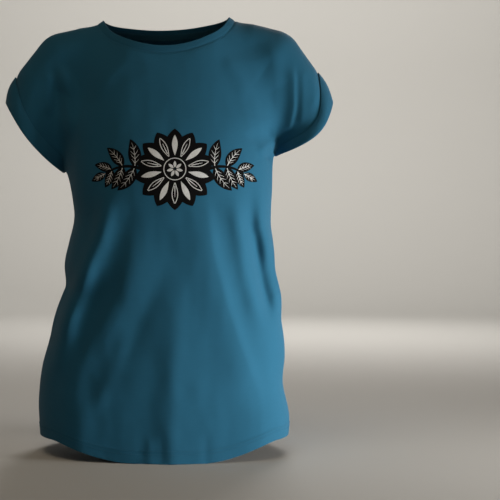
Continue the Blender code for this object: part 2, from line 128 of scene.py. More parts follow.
def limbDistance(p, limb):
    p = p / np.array([1, bodyForm["limbDepth"], 1])
    nearest = np.full(p.shape[:-1], np.inf)
    for first, second in zip(limb[:-1], limb[1:]):
        start = np.array(first[:3])
        along = np.array(second[:3]) - start
        t = np.clip((p - start) @ along / (along @ along), 0, 1)
        away = np.linalg.norm(p - start - t[..., None] * along, axis=-1)
        nearest = np.minimum(nearest, away - first[3] - t * (second[3] - first[3]))
    return nearest


def formDistance(p):
    under = np.exp(-((p[..., 1] / bodyForm["underarmReach"]) ** 2))
    under = under * np.clip((bodyForm["underarmZ"] - p[..., 2]) / bodyForm["underarmFade"], 0, 1)
    blend = bodyForm["blend"] + (bodyForm["underarmBlend"] - bodyForm["blend"]) * under
    distance = torsoDistance(p)
    for limb in bodyForm["limbs"]:
        other = limbDistance(p, limb)
        overlap = np.maximum(blend - np.abs(distance - other), 0) / blend
        distance = np.minimum(distance, other) - overlap**2 * blend / 4
    return distance


def formGradient(p, step=1e-4):
    shifts = step * np.concatenate([np.eye(3), -np.eye(3)])
    around = formDistance(p[..., None, :] + shifts)
    return (around[..., :3] - around[..., 3:]) / (2 * step)


def formNormal(p):
    return unit(formGradient(p))


def ontoForm(p, keepHeight=False, rounds=12):   # moves points along the gradient onto the form
    p = np.array(p, dtype=float)
    for _ in range(rounds):
        gradient = formGradient(p)
        if keepHeight:
            gradient[..., 2] = 0
        size = np.maximum((gradient**2).sum(axis=-1), 0.05)
        step = (formDistance(p) / size)[..., None] * gradient
        length = np.linalg.norm(step, axis=-1, keepdims=True)
        p -= step * np.minimum(1, 0.02 / np.maximum(length, 1e-9))
    return p


def ringPoint(angle, z):   # on the torso: angle 0 is the front, a quarter turn is +X
    power = 2 / bodyForm["sectionPower"]
    x = np.sign(np.sin(angle)) * np.abs(np.sin(angle)) ** power
    y = -np.sign(np.cos(angle)) * np.abs(np.cos(angle)) ** power
    width, depth = torsoSize(x, y, z)
    return np.stack([x * width, y * depth, z * np.ones_like(x)], axis=-1)


# Cut of the shirt: its hem, neck seam and sleeve openings, as in the solids

cut = {
    "hemRise": 0.0255,
    "hemRiseFront": (math.radians(12), math.radians(60)),
    "hemRiseBack": (math.radians(28), math.radians(80)),
    "neckCentreX": -0.004,
    "neckHalfWidth": 0.0985,
    "neckSideZ": 0.6235,
    "neckFront": (-0.080, 0.5715),   # y and z at the middle of the front
    "neckBack": (0.062, 0.617),
    "neckTilt": 0.025,
    "neckPowers": (1.1, 1.5),
    "bandLean": 0.35,
    "cuffInner": 0.0239,   # from the turned edge up to the cuff's seam with the panel
    "shoulderColumns": 8,
    "neckColumns": 14,
    "bodyRows": 32,
    "yokeRows": 14,
    "seamLift": 0.020,
    "yokeLift": 0.040,
    "relaxRounds": 40,
    "finer": 4,            # fine steps to one coarse step
    "fineRounds": 10,
    "finest": 2,           # and again, once the grid is even
}

openings = {   # ends of each turned edge (x, z), the way up the sleeve, and the edge's bulge
    "left": {"tip": (0.237, 0.510), "underarm": (0.166, 0.436), "up": (-0.40, 0.917),
             "bulge": 0.013, "tilt": 0.004, "depth": 0.056},
    "right": {"tip": (-0.236, 0.508), "underarm": (-0.162, 0.410), "up": (0.36, 0.933),
              "bulge": 0.004, "tilt": 0.002, "depth": 0.056},
}


def hemHeight(angle):
    offMiddle = np.abs(np.arcsin(np.clip(np.sin(angle), -1, 1)))
    inFront = np.cos(angle) > 0
    low = np.where(inFront, cut["hemRiseFront"][0], cut["hemRiseBack"][0])
    high = np.where(inFront, cut["hemRiseFront"][1], cut["hemRiseBack"][1])
    return cut["hemRise"] * smoothStep(low, high, offMiddle)


def neckSeam(angle):   # angle 0 is the front, a quarter turn is +X
    x = cut["neckCentreX"] + cut["neckHalfWidth"] * np.sin(angle)
    c = np.cos(angle)
    front = np.maximum(c, 0)
    back = np.maximum(-c, 0)
    frontDrop = (cut["neckSideZ"] - cut["neckFront"][1]) * front ** cut["neckPowers"][0]
    backDrop = (cut["neckSideZ"] - cut["neckBack"][1]) * back ** cut["neckPowers"][1]
    y = cut["neckFront"][0] * front + cut["neckBack"][0] * back
    z = cut["neckSideZ"] - frontDrop - backDrop + cut["neckTilt"] * (x - cut["neckCentreX"])
    return ontoForm(np.stack([x, y, z], axis=-1))


def openingEdge(side, angle, up=0.0):   # angle 0 is the shoulder tip, half a turn the underarm
    opening = openings[side]
    tip = np.array(opening["tip"])
    underarm = np.array(opening["underarm"])
    middle = (tip + underarm) / 2
    half = (tip - underarm) / 2
    outward = unit(np.array([abs(half[1]) * np.sign(tip[0]), -abs(half[0])]))
    angle, up = np.broadcast_arrays(angle, up)
    s = np.sin(angle)
    bulge = opening["bulge"] * s**2 + opening["tilt"] * s
    flat = middle + half * np.cos(angle)[..., None] + outward * bulge[..., None]
    p = np.stack([flat[..., 0], -opening["depth"] * s, flat[..., 1]], axis=-1)
    wayUp = unit(np.array([opening["up"][0], 0.0, opening["up"][1]]))
    return ontoForm(p + wayUp * up[..., None], rounds=8)


def openingNormal(side, angle, up, step=1e-3):
    ahead = openingEdge(side, angle + step, up) - openingEdge(side, angle - step, up)
    x, z = openings[side]["up"]
    out = unit(np.cross(ahead, np.array([x, 0.0, z])))
    return -out if side == "left" else out


def seamRun(start, end, count):
    t = np.linspace(0, 1, count + 1)[:, None]
    p = start * (1 - t) + end * t
    p[:, 2] += cut["seamLift"] * np.sin(np.pi * t[:, 0])
    return ontoForm(p)


def transfinite(bottom, top, left, right):
    u = np.linspace(0, 1, len(bottom))[None, :, None]
    v = np.linspace(0, 1, len(left))[:, None, None]
    return (
        (1 - v) * bottom[None] + v * top[None] + (1 - u) * left[:, None] + u * right[:, None]
        - (1 - u) * (1 - v) * bottom[0] - u * (1 - v) * bottom[-1]
        - (1 - u) * v * top[0] - u * v * top[-1]
    )


def relax(grid, rounds):
    for _ in range(rounds):
        inner = (grid[:-2, 1:-1] + grid[2:, 1:-1] + grid[1:-1, :-2] + grid[1:-1, 2:]) / 4
        grid[1:-1, 1:-1] = ontoForm(inner, rounds=2)
    return grid


def upsample(grid, factor):   # cubic, along both ways of the grid
    for axis in (0, 1):
        grid = np.moveaxis(grid, axis, 0)
        wide = np.concatenate([2 * grid[:1] - grid[1:2], grid, 2 * grid[-1:] - grid[-2:-1]])
        steps = []
        for k in range(factor):
            t = k / factor
            weights = (-t + 2 * t**2 - t**3, 2 - 5 * t**2 + 3 * t**3,
                       t + 4 * t**2 - 3 * t**3, t**3 - t**2)
            ends = len(wide) - 3
            steps.append(sum(w * wide[i : i + ends] for i, w in enumerate(weights)) / 2)
        fine = np.stack(steps, axis=1).reshape(-1, *grid.shape[1:])
        grid = np.moveaxis(np.concatenate([fine, grid[-1:]]), 0, axis)
    return grid


def panelEdges(facing, finer):   # the curves round one panel at a given fineness
    columns = (2 * cut["shoulderColumns"] + cut["neckColumns"]) * finer
    spread = np.linspace(-math.pi / 2, math.pi / 2, columns + 1)
    way = 1 if facing == "front" else -1
    angle = spread if facing == "front" else math.pi - spread
    rows = np.linspace(math.pi, 0, cut["yokeRows"] * finer + 1) * way
    up = np.full(rows.shape, cut["cuffInner"])
    edgeRight = openingEdge("right", rows, up)
    edgeLeft = openingEdge("left", rows, up)
    neckAngle = np.linspace(-math.pi / 2, math.pi / 2, cut["neckColumns"] * finer + 1)
    neck = neckSeam(neckAngle if facing == "front" else math.pi - neckAngle)
    run = cut["shoulderColumns"] * finer
    top = np.concatenate([seamRun(edgeRight[-1], neck[0], run)[:-1], neck,
                          seamRun(neck[-1], edgeLeft[-1], run)[1:]])
    high = np.linspace(edgeRight[0, 2], edgeLeft[0, 2], columns + 1)
    chest = ontoForm(ringPoint(angle, high), keepHeight=True)
    chest[0] = edgeRight[0]
    chest[-1] = edgeLeft[0]
    return angle, edgeRight, edgeLeft, top, chest


def bodyRows(angle, high, shares):   # rows between the hem's edge and the underarm's height
    low = hemHeight(angle)
    z = low + (high - low) * shares[:, None]
    return ontoForm(ringPoint(np.broadcast_to(angle, z.shape), z), keepHeight=True, rounds=6)


def panelGrid(facing):   # rows from the hem's edge to the shoulders, columns along +X
    angle, edgeRight, edgeLeft, top, chest = panelEdges(facing, 1)
    yoke = transfinite(chest, top, edgeRight, edgeLeft)
    v = np.linspace(0, 1, yoke.shape[0])[:, None]
    u = np.linspace(0, 1, yoke.shape[1])[None, :]
    way = 1 if facing == "front" else -1
    yoke[..., 1] -= way * cut["yokeLift"] * np.sin(np.pi * v) * np.sin(np.pi * u)
    yoke[1:-1, 1:-1] = ontoForm(yoke[1:-1, 1:-1])
    yoke = relax(yoke, cut["relaxRounds"])
    finer = cut["finer"]
    angle, edgeRight, edgeLeft, top, chest = panelEdges(facing, finer)
    yoke = upsample(yoke, finer)
    yoke[0] = chest
    yoke[-1] = top
    yoke[:, 0] = edgeRight
    yoke[:, -1] = edgeLeft
    bodyCount = cut["bodyRows"] * finer
    body = bodyRows(angle, chest[:, 2], np.linspace(0, 1, bodyCount + 1)[:-1])
    grid = np.concatenate([body, yoke])
    inner = relax(grid[bodyCount - 3 * finer :].copy(), cut["fineRounds"])
    grid[bodyCount - 3 * finer :] = inner
    grid = upsample(grid, cut["finest"])
    angle, edgeRight, edgeLeft, top, chest = panelEdges(facing, finer * cut["finest"])
    yokeStart = bodyCount * cut["finest"]
    grid[:, 1:-1] = ontoForm(grid[:, 1:-1], rounds=1)
    grid[yokeStart:, 0] = edgeRight
    grid[yokeStart:, -1] = edgeLeft
    grid[-1] = top
    return grid


print("cloth: panel grids")
grids = {facing: panelGrid(facing) for facing in ("front", "back")}
bodyCount = cut["bodyRows"] * cut["finer"] * cut["finest"]


# Folds of the worn cloth: height and half width on the -X and +X sides of the crest in millimetres,
# share of the path over which each end fades, and path of (x, z) in millimetres. It runs from its top
# down wherever the two half widths differ

folds = {
    "front": (
        (12, 30, 36, 0.35, 0.35, ((-115, 350), (-125, 300), (-136, 250), (-147, 208), (-158, 160),
            (-167, 105))),
        (8, 30, 34, 0.4, 0.02, ((-126, 125), (-133, 70), (-136, -20))),
        (5.5, 35, 25, 0.4, 0.02, ((132, 115), (137, 60), (138, -20))),
        (13.5, 13, 18, 0.22, 0.35, ((-82, 395), (-87, 350), (-96, 312), (-110, 278), (-123, 244),
            (-136, 208), (-147, 171), (-158, 128), (-168, 80))),
        (4.8, 15, 22, 0.35, 0.25, ((-34, 345), (-45, 307), (-58, 250), (-77, 210), (-101, 170),
            (-122, 135), (-144, 95), (-158, 60))),
        (-1.8, 14, 14, 0.3, 0.2, ((-10, 280), (-18, 239), (-40, 190), (-66, 140), (-92, 95))),
        (1.8, 12, 12, 0.3, 0.25, ((-44, 200), (-60, 165), (-75, 132), (-90, 100), (-108, 55))),
        (-1, 16, 16, 0.3, 0.05, ((-20, 200), (-24, 129), (-30, 60), (-34, 5))),
        (1.7, 14, 14, 0.4, 0.02, ((16, 290), (12, 239), (9, 184), (5, 129), (4, 75), (3, -20))),
        (3.4, 36, 36, 0.45, 0.02, ((10, 260), (6, 150), (4, 80), (3, -20))),
        (4.8, 34, 11, 0.25, 0.3, ((48, 372), (52, 335), (60, 287), (69, 253), (78, 219), (88, 190),
            (99, 157), (110, 129), (122, 95), (132, 60))),
        (6.2, 13, 10, 0.25, 0.3, ((88, 385), (93, 345), (100, 305), (106, 270), (113, 240), (123, 206),
            (135, 165))),
        (-11.2, 9, 9, 0.62, 0.22, ((111, 405), (114.5, 356), (116, 328), (120.2, 312), (123.2, 298),
            (126, 285), (128.8, 272), (131.8, 258), (135, 242), (140.2, 222), (149, 185))),
        (18.5, 12, 14, 0.62, 0.22, ((126, 405), (129.5, 356), (130.5, 328), (135.2, 312), (137.8, 298),
            (140.3, 285), (143, 272), (145.8, 258), (149.3, 242), (154, 222), (162, 185))),
        (4.8, 14, 13, 0.35, 0.35, ((-104, 290), (-118, 245), (-130, 215), (-143, 188), (-151, 160))),
        (2.2, 8, 7, 0.2, 0.3, ((-174, 550), (-172, 521), (-170, 480))),
        (-1.2, 8, 8, 0.2, 0.3, ((-164, 558), (-160, 520), (-158, 478))),
        (8.5, 15, 12, 0.3, 0.3, ((-160, 566), (-150, 543), (-143, 521), (-142, 499), (-144, 470),
            (-148, 440))),
        (-1.2, 12, 14, 0.3, 0.3, ((-134, 565), (-120, 542), (-114, 521), (-116, 499), (-120, 470))),
        (7, 40, 18, 0.22, 0.25, ((136, 596), (143, 572), (148, 540), (149, 505), (147, 470),
            (141, 438))),
        (3, 10, 3.4, 0.2, 0.25, ((177, 560), (178, 540), (178, 521), (178, 499), (175, 480), (170, 462),
            (162, 446))),
        (1, 5, 5, 0.2, 0.25, ((191, 556), (191, 530), (191, 505), (189, 480), (184, 462))),
        (0.8, 4.5, 5.5, 0.25, 0.3, ((205, 545), (208, 525), (208, 505), (206, 490))),
        (4.5, 7, 7, 0.3, 0.2, ((126, 424), (134, 436), (146, 445), (166, 450))),
        (-4, 6, 6, 0.3, 0.2, ((138, 420), (148, 432), (162, 436))),
        (-3, 10, 10, 0.3, 0.25, ((112, 440), (122, 452), (138, 458), (152, 460))),
        (0.9, 6, 6, 0.5, 0.02, ((-28, 44), (-26, 0))),
        (-1, 6, 6, 0.5, 0.02, ((-10, 50), (-8, 0))),
        (-1, 7, 7, 0.5, 0.02, ((52, 52), (50, 0))),
        (1.6, 12, 10, 0.3, 0.3, ((-60, 560), (-90, 530), (-110, 500))),
        (1.4, 12, 10, 0.3, 0.3, ((75, 570), (98, 535), (110, 500))),
    ),
    "back": (
        (6.2, 18, 18, 0.25, 0.05, ((-60, 350), (-85, 200), (-105, 10))),
        (-6, 16, 16, 0.25, 0.05, ((-20, 380), (-38, 190), (-48, -10))),
        (6.4, 18, 18, 0.25, 0.05, ((22, 370), (30, 190), (25, -10))),
        (-6, 16, 16, 0.25, 0.05, ((66, 360), (86, 190), (92, 0))),
        (6, 15, 15, 0.25, 0.1, ((105, 350), (128, 200), (146, 60))),
        (-4.6, 14, 14, 0.25, 0.1, ((-112, 350), (-136, 200), (-150, 70))),
        (3.6, 11, 11, 0.3, 0.3, ((-100, 400), (-60, 330), (-10, 280))),
        (-3, 10, 10, 0.3, 0.3, ((105, 400), (70, 350), (30, 310))),
        (3.6, 10, 10, 0.2, 0.25, ((-162, 555), (-146, 520), (-140, 460))),
        (-3, 10, 10, 0.2, 0.25, ((-140, 555), (-125, 520), (-120, 460))),
        (3.6, 10, 10, 0.2, 0.25, ((166, 555), (158, 520), (150, 470))),
        (-3, 10, 10, 0.2, 0.25, ((146, 555), (138, 520), (130, 470))),
    ),
}

wrinkles = {   # small unevenness of worn jersey: height and size, longer down than across
    "broad": (0.0012, 0.050),
    "fine": (0.00040, 0.017),
    "stretch": 0.45,
    "seed": (3.7, 11.3, 5.9),
}

cloth = {
    "thick": 0.0008,
    "foldReach": 2.6,     # a fold is worked out this many half widths to each side
    "foldWay": (0.08, 1.0, 0.12),   # folds stand out more to the front and back than to the sides
    "seamFade": 0.024,    # folds flatten towards a seam over about this way
    "trimFade": 0.012,    # and towards the neck and the cuffs
    "seamDip": 0.0004,
    "seamDipWay": 0.0022,
}


def smoothPath(points, steps=4):
    return upsample(np.array(points, dtype=float)[:, None, :].repeat(2, axis=1), steps)[:, 0]


def foldHeight(p, facing):
    total = np.zeros(p.shape[:-1])
    flat = p[..., [0, 2]]
    for height, before, after, fadeIn, fadeOut, points in folds[facing]:
        path = smoothPath(points) * mm
        height, before, after = height * mm, before * mm, after * mm
        reach = cloth["foldReach"] * max(before, after)
        near = ((flat > path.min(axis=0) - reach) & (flat < path.max(axis=0) + reach)).all(axis=-1)
        spot = flat[near]
        lengths = np.linalg.norm(np.diff(path, axis=0), axis=1)
        best = np.full(len(spot), np.inf)
        share = np.zeros(len(spot))
        side = np.zeros(len(spot))
        done = 0.0
        for start, end, length in zip(path[:-1], path[1:], lengths):
            along = end - start
            t = np.clip((spot - start) @ along / length**2, 0, 1)
            off = spot - start - t[:, None] * along
            away = np.linalg.norm(off, axis=-1)
            nearer = away < best
            share = np.where(nearer, (done + t * length) / lengths.sum(), share)
            side = np.where(nearer, along[0] * off[:, 1] - along[1] * off[:, 0], side)
            best = np.minimum(best, away)
            done += length
        ends = smoothStep(0, fadeIn, share) * smoothStep(0, fadeOut, 1 - share)
        halfWidth = np.where(side > 0, after, before)
        total[near] += height * np.exp(-((best / halfWidth) ** 2)) * ends
    return total


def noiseAt(p):
    return np.array([noise.noise(Vector(v)) for v in p.reshape(-1, 3)]).reshape(p.shape[:-1])


def wrinkleHeight(p):
    total = np.zeros(p.shape[:-1])
    flat = p * np.array([1, 1, wrinkles["stretch"]])
    for height, size in (wrinkles["broad"], wrinkles["fine"]):
        total += height * noiseAt(flat / size + np.array(wrinkles["seed"]))
    return total


def edgeWays(grid):   # how far each point is along the cloth from each edge of its panel
    across = np.linalg.norm(np.diff(grid, axis=1), axis=-1)
    fromRight = np.concatenate([np.zeros((len(grid), 1)), np.cumsum(across, axis=1)], axis=1)
    along = np.linalg.norm(np.diff(grid, axis=0), axis=-1)
    fromHem = np.concatenate([np.zeros((1, grid.shape[1])), np.cumsum(along, axis=0)])
    return fromRight, fromRight[:, -1:] - fromRight, fromHem, fromHem[-1:] - fromHem


def foldedGrid(facing):
    grid = grids[facing]
    fromRight, fromLeft, _, fromTop = edgeWays(grid)
    side = np.minimum(fromRight, fromLeft)
    offSide, offTop = (smoothStep(0, cloth["trimFade"], way) for way in (side, fromTop))
    inYoke = np.arange(len(side))[:, None] > bodyCount
    run = cut["shoulderColumns"] * cut["finer"] * cut["finest"]
    overNeck = np.zeros(side.shape[1], dtype=bool)
    overNeck[run:-run] = True
    flatten = np.where(inYoke, offSide, smoothStep(0, cloth["seamFade"], side)) * offTop
    trims = np.where(inYoke, offSide, 1) * np.where(overNeck, offTop, 1)
    height = foldHeight(grid, facing) * flatten + wrinkleHeight(grid) * trims
    return grid + unit(formNormal(grid) * np.array(cloth["foldWay"])) * height[..., None]


def gridFaces(rows, columns, closedRows=False, closedColumns=False):
    faces = []
    for r in range(rows if closedRows else rows - 1):
        low, high = r * columns, (r + 1) % rows * columns
        for c in range(columns if closedColumns else columns - 1):
            d = (c + 1) % columns
            faces.append((low + c, low + d, high + d, high + c))
    return faces


def joinedNormals(front, back):   # vertex normals over both panels, shared along their seams
    both = np.concatenate([front.reshape(-1, 3), back.reshape(-1, 3)])
    keys = np.round(grids["front"].reshape(-1, 3), 5), np.round(grids["back"].reshape(-1, 3), 5)
    _, joined = np.unique(np.concatenate(keys), axis=0, return_inverse=True)
    joined = joined.reshape(-1)
    rows, columns = front.shape[:2]
    quads = np.array(gridFaces(rows, columns))
    quads = np.concatenate([quads, quads[:, ::-1] + rows * columns])
    a, b, c, d = (both[quads[:, k]] for k in range(4))
    facing = np.cross(c - a, d - b)
    sums = np.zeros((joined.max() + 1, 3))
    for k in range(4):
        np.add.at(sums, joined[quads[:, k]], facing)
    normals = unit(sums)[joined]
    half = rows * columns
    return normals[:half].reshape(front.shape), normals[half:].reshape(back.shape)


def makeObject(name, vertices, faces, material, angle=50):
    mesh = bpy.data.meshes.new(name)
    mesh.from_pydata([tuple(v) for v in vertices], [], faces)
    mesh.validate()
    mesh.shade_smooth()
    mesh.set_sharp_from_angle(angle=math.radians(angle))
    obj = bpy.data.objects.new(name, mesh)
    scene.collection.objects.link(obj)
    if material:
        mesh.materials.append(material)
    return obj


def addPlaces(obj, places):
    layer = obj.data.attributes.new("clothPlace", "FLOAT_VECTOR", "POINT")
    layer.data.foreach_set("vector", np.asarray(places, dtype=np.float32).reshape(-1))


def slabFaces(rows, columns):   # both sides and the rim of a sheet, whose back follows its front
    under = rows * columns
    sheet = gridFaces(rows, columns)
    order = np.arange(under).reshape(rows, columns)
    rim = np.concatenate([order[0], order[1:, -1], order[-1, -2::-1], order[-2:0:-1, 0]]).tolist()
    walls = [(a, b, b + under, a + under) for a, b in zip(rim[1:] + rim[:1], rim)]
    return sheet + [tuple(i + under for i in reversed(face)) for face in sheet] + walls


def sheetSolid(name, outer, inner, material, places):
    points = np.concatenate([outer.reshape(-1, 3), inner.reshape(-1, 3)])
    obj = makeObject(name, points, slabFaces(*outer.shape[:2]), material)
    addPlaces(obj, np.concatenate([places.reshape(-1, 3)] * 2))
    return obj


def wear(obj, slotName, *nodes):   # every piece rides on the one body, some in place of their solids
    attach(obj, "root")
    if nodes:
        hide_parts(*nodes)
    return obj


def solidFrom(name, points, faces, material, places=None):   # turned outwards if it is inside out
    obj = makeObject(name, np.asarray(points).reshape(-1, 3), faces, material)
    shape = bmesh.new()
    shape.from_mesh(obj.data)
    if shape.calc_volume(signed=True) < 0:
        obj.data.flip_normals()
    shape.free()
    if places is not None:
        addPlaces(obj, places)
    return obj


def loopSolid(name, loops, material, places):   # a ring whose section is the loops in order
    return solidFrom(name, loops, gridFaces(*loops.shape[:2], True, True), material, places)


# Materials. A Wire is a node's output that takes part in plain sums

class Wire:
    def __init__(self, tree, socket=None):
        self.tree = tree
        self.socket = socket

    def node(self, kind, settings=None, sockets=None, output=0):
        made = self.tree.nodes.new(kind)
        for name, value in (settings or {}).items():
            setattr(made, name, value)
        for name, value in (sockets or {}).items():
            if isinstance(value, Wire):
                self.tree.links.new(value.socket, made.inputs[name])
            else:
                made.inputs[name].default_value = value
        return Wire(self.tree, made.outputs[output])

    def output(self, number):   # another output of the same node
        return Wire(self.tree, self.socket.node.outputs[number])

    def into(self, shader, name):
        self.tree.links.new(self.socket, shader.inputs[name])

    def sum(self, operation, *others):
        sockets = {i + 1: other for i, other in enumerate(others)}
        return self.node("ShaderNodeMath", {"operation": operation}, {0: self, **sockets})

    def __add__(self, other):
        return self.sum("ADD", other)

    __radd__ = __add__

    def __mul__(self, other):
        return self.sum("MULTIPLY", other)

    __rmul__ = __mul__

    def __sub__(self, other):
        return self.sum("SUBTRACT", other)

    def __rsub__(self, other):
        return self.node("ShaderNodeMath", {"operation": "SUBTRACT"}, {0: other, 1: self})


def shaded(colour, shade=1.0):
    return (*(c * shade for c in colour), 1)


def mixColour(share, first, second):
    return share.node("ShaderNodeMix", {"data_type": "RGBA"}, {0: share, 6: first, 7: second}, 2)


def noiseTone(place, scale, detail):
    return place.node("ShaderNodeTexNoise", None, {"Vector": place, "Scale": scale, "Detail": detail})


def addRelief(shader, height, distance, strength):
    bump = {"Height": height, "Distance": distance, "Strength": strength}
    height.node("ShaderNodeBump", None, bump).into(shader, "Normal")


yarn = {   # what every cotton surface here has in common
    "specular": 0.15,
    "sheenRoughness": 0.45,
    "sheenTint": (0.58, 0.66, 0.72, 1),
}

jersey = {
    "dark": (0.0112, 0.080, 0.140),
    "light": (0.0182, 0.122, 0.211),
    "wale": 0.00115,      # width of one column of stitches
    "course": 0.00095,    # height of one row of stitches
    "roughness": 0.88,
    "sheen": 0.12,
    "bump": 0.00012,
    "cloud": 14.0,        # scales of slow changes in tone, of slubs and of fuzz
    "slub": (60.0, 900.0, 60.0),
    "fuzz": 1500.0,
}

tapeLook = {
    "dark": (0.010, 0.062, 0.100),
    "light": (0.018, 0.100, 0.155),
    "tooth": 0.0060,
    "rib": 0.0007,
    "lean": 0.0009,
}


def newMaterial(name, colour, roughness, sheen):
    material = bpy.data.materials.new(name)
    material.use_nodes = True
    shader = material.node_tree.nodes["Principled BSDF"]
    values = {"Base Color": (*colour, 1), "Roughness": roughness, "Sheen Weight": sheen,
              "Specular IOR Level": yarn["specular"], "Sheen Roughness": yarn["sheenRoughness"],
              "Sheen Tint": yarn["sheenTint"]}
    for socket, value in values.items():
        shader.inputs[socket].default_value = value
    return material, shader, Wire(material.node_tree)


def placeOnCloth(wire):   # flat place on the cloth, and its parts across and along
    place = wire.node("ShaderNodeAttribute", {"attribute_name": "clothPlace"}, output=1)
    across = place.node("ShaderNodeSeparateXYZ", None, {0: place})
    return place, across, across.output(1)


def knitMaterial(name, shade=1.0, bump=1.0):
    light = shaded(jersey["light"], shade)
    material, shader, wire = newMaterial(name, light[:3], jersey["roughness"], jersey["sheen"])
    place, across, along = placeOnCloth(wire)
    wale = (across * (2 * math.pi / jersey["wale"])).sum("SINE")
    course = (along * (2 * math.pi / jersey["course"])).sum("SINE")
    loops = wale * (course * 0.35 + 0.65)
    cloud = noiseTone(place, jersey["cloud"], 3.0)
    slub = wire.node("ShaderNodeMapping", None, {"Vector": place, "Scale": jersey["slub"]})
    slub = noiseTone(slub, 1.0, 2.0)
    fuzz = noiseTone(place, jersey["fuzz"], 2.0)
    tone = cloud * 0.35 + slub * 0.35 + fuzz * 0.45 + loops * 0.06 - 0.07
    mixColour(tone, shaded(jersey["dark"], shade), light).into(shader, "Base Color")
    addRelief(shader, loops * 0.5 + fuzz * 0.5 + slub * 0.4, jersey["bump"] * bump, 0.9)
    return material


def tapeMaterial(name):
    material, shader, wire = newMaterial(name, tapeLook["light"], 0.75, 0.15)
    _, across, along = placeOnCloth(wire)
    tooth = (across * (2 * math.pi / tapeLook["tooth"])).sum("SINE")
    zigzag = (tooth * tapeLook["lean"] + along) * (2 * math.pi / tapeLook["rib"])
    rib = zigzag.sum("SINE") * 0.5 + 0.5
    mixColour(rib, shaded(tapeLook["dark"]), shaded(tapeLook["light"])).into(shader, "Base Color")
    addRelief(shader, rib, 0.0001, 0.8)
    return material


def threadMaterial(name, colour):
    material, shader, wire = newMaterial(name, colour, 0.6, 0.1)
    twist = noiseTone(wire.node("ShaderNodeTexCoord", output=3), 2500.0, 1.0)
    mixColour(twist, shaded(colour, 0.7), shaded(colour)).into(shader, "Base Color")
    return material


# Panels: front and back, each one piece of cloth from its hem to its shoulders

print("cloth: folds")
folded = {facing: foldedGrid(facing) for facing in ("front", "back")}
normals = dict(zip(("front", "back"), joinedNormals(folded["front"], folded["back"])))
hemRows = 13     # rows of the grid that the hem's doubled cloth covers


def clothPlaces(facing):   # flat place on the cloth: across from the middle, and up from the hem
    fromRight, fromLeft, fromHem, _ = edgeWays(grids[facing])
    across = (fromRight - fromLeft) / 2
    return np.stack([across, fromHem, np.zeros_like(across)], axis=-1)


def seamDip(facing):   # the cloth turns in at a seam
    fromRight, fromLeft, _, fromTop = edgeWays(grids[facing])
    body = np.arange(len(fromRight))[:, None] <= bodyCount
    side = np.where(body, np.minimum(fromRight, fromLeft), 1)
    near = np.minimum(side, fromTop)
    return cloth["seamDip"] * np.exp(-((near / cloth["seamDipWay"]) ** 2))


def makePanel(facing, material):
    lift = -seamDip(facing)
    outer = folded[facing] + normals[facing] * lift[..., None]
    inner = folded[facing] - normals[facing] * cloth["thick"]
    places = clothPlaces(facing)
    keep = slice(hemRows - 1, None)
    outer, inner, places = outer[keep], inner[keep], places[keep]
    if facing == "back":
        outer, inner, places = outer[:, ::-1], inner[:, ::-1], places[:, ::-1]
    panel = sheetSolid(f"{facing}Panel", outer, inner, material, places)
    return wear(panel, "jersey", f"{facing}_body", f"{facing}_yoke")


# Hems: the cloth turned up and stitched, a little thicker than the panel

hem = {
    "proud": 0.00035,
    "thick": 0.0021,
    "round": 0.0008,
}


def makeHem(facing, material):
    rows = folded[facing][: hemRows + 1]
    out = normals[facing][: hemRows + 1]
    places = clothPlaces(facing)[: hemRows + 1]
    down = unit(rows[0] - rows[1])
    dip = seamDip(facing)[: hemRows + 1]
    level = np.linspace(0, 1, hemRows + 1)[:, None]
    proud = hem["proud"] * (1 - smoothStep(0.8, 1.0, level)) - dip
    middle = hem["thick"] / 2 - hem["proud"]
    ring = [rows[i] + out[i] * proud[i][:, None] for i in range(hemRows, 0, -1)]
    ringPlaces = [places[i] for i in range(hemRows, 0, -1)]
    for turn in np.linspace(0, math.pi, 7):
        lift = out[0] * (-middle + math.cos(turn) * hem["thick"] / 2)
        ring.append(rows[0] + lift - down * hem["round"] * (1 - math.sin(turn)))
        ringPlaces.append(places[0])
    for i in range(1, hemRows + 1):
        back = hem["proud"] - hem["thick"] + 0.9 * cloth["thick"] * smoothStep(0.9, 1.0, level[i])
        ring.append(rows[i] + out[i] * back)
        ringPlaces.append(places[i])
    ring = np.array(ring)
    count, columns = ring.shape[:2]
    faces = gridFaces(count, columns, closedRows=True)
    faces.append(tuple(i * columns for i in range(count)))
    faces.append(tuple(i * columns + columns - 1 for i in reversed(range(count))))
    obj = solidFrom(f"{facing}Hem", ring, faces, material, np.array(ringPlaces))
    return wear(obj, "hem", f"{facing}_hem")


# Neckband: a folded band of fine rib, sewn on just above the panels

band = {
    "width": 0.0100,
    "tuck": 0.0006,       # its lower edge reaches this far below the seam
    "half": 0.00085,      # half its thickness
    "ribs": 330,
    "ribHeight": 0.00010,
    "stepsPerRib": 4,
}


def neckbandLine(angle):   # the seam, the way up the band, and the way out of it
    seam = neckSeam(angle)
    normal = formNormal(seam)
    ahead = unit(neckSeam(angle + 1e-3) - neckSeam(angle - 1e-3))
    rise = unit(unit(np.cross(normal, ahead)) + np.array([0, 0, cut["bandLean"]]))
    return seam, rise, unit(np.cross(ahead, rise))


